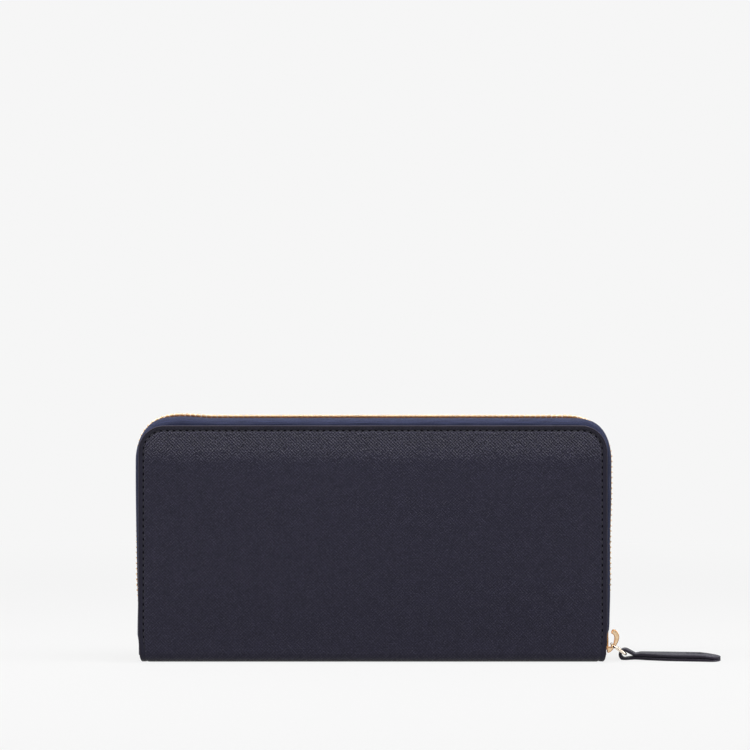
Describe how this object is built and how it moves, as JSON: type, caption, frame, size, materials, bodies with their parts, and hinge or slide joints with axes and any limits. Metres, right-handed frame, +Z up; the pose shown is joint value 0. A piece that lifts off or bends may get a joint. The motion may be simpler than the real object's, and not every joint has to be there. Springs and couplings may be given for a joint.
{
  "type": "zip-around wallet",
  "caption": "Long zip-around wallet in grained leather with metal zip, leather pull, card pockets and a zipped coin pocket, standing on its spine.",
  "frame": {"origin": "middle of the spine's flat bottom, on the centre plane between the two covers", "axes": "+Z up from the spine, +X along the spine towards the parked slider, +Y to the back half"},
  "size_m": [0.2403, 0.024, 0.1007],
  "materials": {
    "grained_leather": "cross-grain embossed, satin",
    "smooth_leather": "smooth matt",
    "lining_fabric": "fine woven lining",
    "board": "plain stiffener board",
    "zip_tape": "woven herringbone tape",
    "zip_metal": "plated, bright",
    "polished_brass": "polished pale gold plating",
    "thread": "waxed thread"
  },
  "bodies": {
    "back_half": {"back_cover": "grained_leather", "back_stiffener": "board", "back_lining": "lining_fabric", "back_card_panel": "smooth_leather", "back_card_pocket_1": "smooth_leather", "back_card_pocket_2": "smooth_leather", "back_card_pocket_3": "smooth_leather", "back_card_pocket_4": "smooth_leather", "back_seam_thread": "thread", "back_zip_tape": "zip_tape", "back_zip_tape_right": "zip_tape", "back_zip_teeth": "zip_metal", "back_zip_teeth_end": "zip_metal", "back_zip_teeth_right": "zip_metal", "back_zip_top_stop": "zip_metal", "back_fold": "grained_leather", "spine_cover": "grained_leather", "spine_stiffener": "board", "spine_lining": "lining_fabric", "left_gusset": "smooth_leather", "right_gusset": "smooth_leather", "zip_end_stop": "zip_metal", "front_fold": "grained_leather"},
    "front_half": {"front_cover": "grained_leather", "front_stiffener": "board", "front_lining": "lining_fabric", "front_card_panel": "smooth_leather", "front_card_pocket_1": "smooth_leather", "front_card_pocket_2": "smooth_leather", "front_card_pocket_3": "smooth_leather", "front_card_pocket_4": "smooth_leather", "front_seam_thread": "thread", "front_zip_tape": "zip_tape", "front_zip_tape_right": "zip_tape", "front_zip_teeth": "zip_metal", "front_zip_teeth_end": "zip_metal", "front_zip_teeth_right": "zip_metal", "front_zip_top_stop": "zip_metal"},
    "coin_pocket": {"coin_pocket_front_wall": "lining_fabric", "coin_pocket_back_wall": "lining_fabric", "coin_pocket_bottom": "lining_fabric", "coin_pocket_left_side": "lining_fabric", "coin_pocket_right_side": "lining_fabric", "coin_tape_front": "zip_tape", "coin_tape_back": "zip_tape", "coin_teeth_front": "zip_metal", "coin_teeth_back": "zip_metal", "coin_zip_stops": "zip_metal"},
    "coin_slider": {"coin_slider_body": "polished_brass", "coin_slider_bridge": "polished_brass"},
    "coin_puller": {"coin_puller": "polished_brass"},
    "zip_slider": {"zip_slider_body": "polished_brass", "zip_slider_crown": "polished_brass"},
    "pull_link": {"pull_link": "polished_brass"},
    "pull_tab": {"pull_tab_lower_layer": "grained_leather", "pull_tab_upper_layer": "grained_leather", "pull_tab_loop": "grained_leather", "pull_tab_stitches": "thread"}
  },
  "joints": [
    {"name": "cover_open", "type": "hinge", "parent": "back_half", "child": "front_half", "pos_m": [0, -0.008, 0.004], "axis": [1, 0, 0], "range_deg": [0, 60], "deforming": ["front_fold", "left_gusset", "right_gusset", "front_zip_teeth_end", "back_zip_teeth_end"]},
    {"name": "coin_pocket_follow", "type": "hinge", "parent": "back_half", "child": "coin_pocket", "pos_m": [0, 0, 0.0035], "axis": [1, 0, 0], "range_deg": [0, 30]},
    {"name": "coin_slider_travel", "type": "slide", "parent": "coin_pocket", "child": "coin_slider", "axis": [-1, 0, 0], "range_m": [0, 0.144], "deforming": ["coin_teeth_front", "coin_teeth_back"]},
    {"name": "coin_puller_flip", "type": "hinge", "parent": "coin_slider", "child": "coin_puller", "pos_m": [0.0743, 0, 0.0805], "axis": [0, 1, 0], "range_deg": [0, 170]},
    {"name": "zip_slider_travel", "type": "slide", "parent": "back_half", "child": "zip_slider", "axis": [0.0277, 0, 0.9996], "range_m": [0, 0.0685], "deforming": ["front_zip_tape_right", "back_zip_tape_right", "front_zip_teeth_right", "back_zip_teeth_right", "front_zip_top_stop", "back_zip_top_stop"]},
    {"name": "pull_link_swing", "type": "hinge", "parent": "zip_slider", "child": "pull_link", "pos_m": [0.0983, 0, 0.006], "axis": [0, 1, 0], "range_deg": [-40, 50]},
    {"name": "pull_tab_swing", "type": "hinge", "parent": "pull_link", "child": "pull_tab", "pos_m": [0.10375, 0, 0.00246], "axis": [0, 1, 0], "range_deg": [-45, 38]}
  ],
  "couplings": [
    {"joint": "coin_pocket_follow", "follows": "cover_open", "ratio": 0.5}
  ]
}
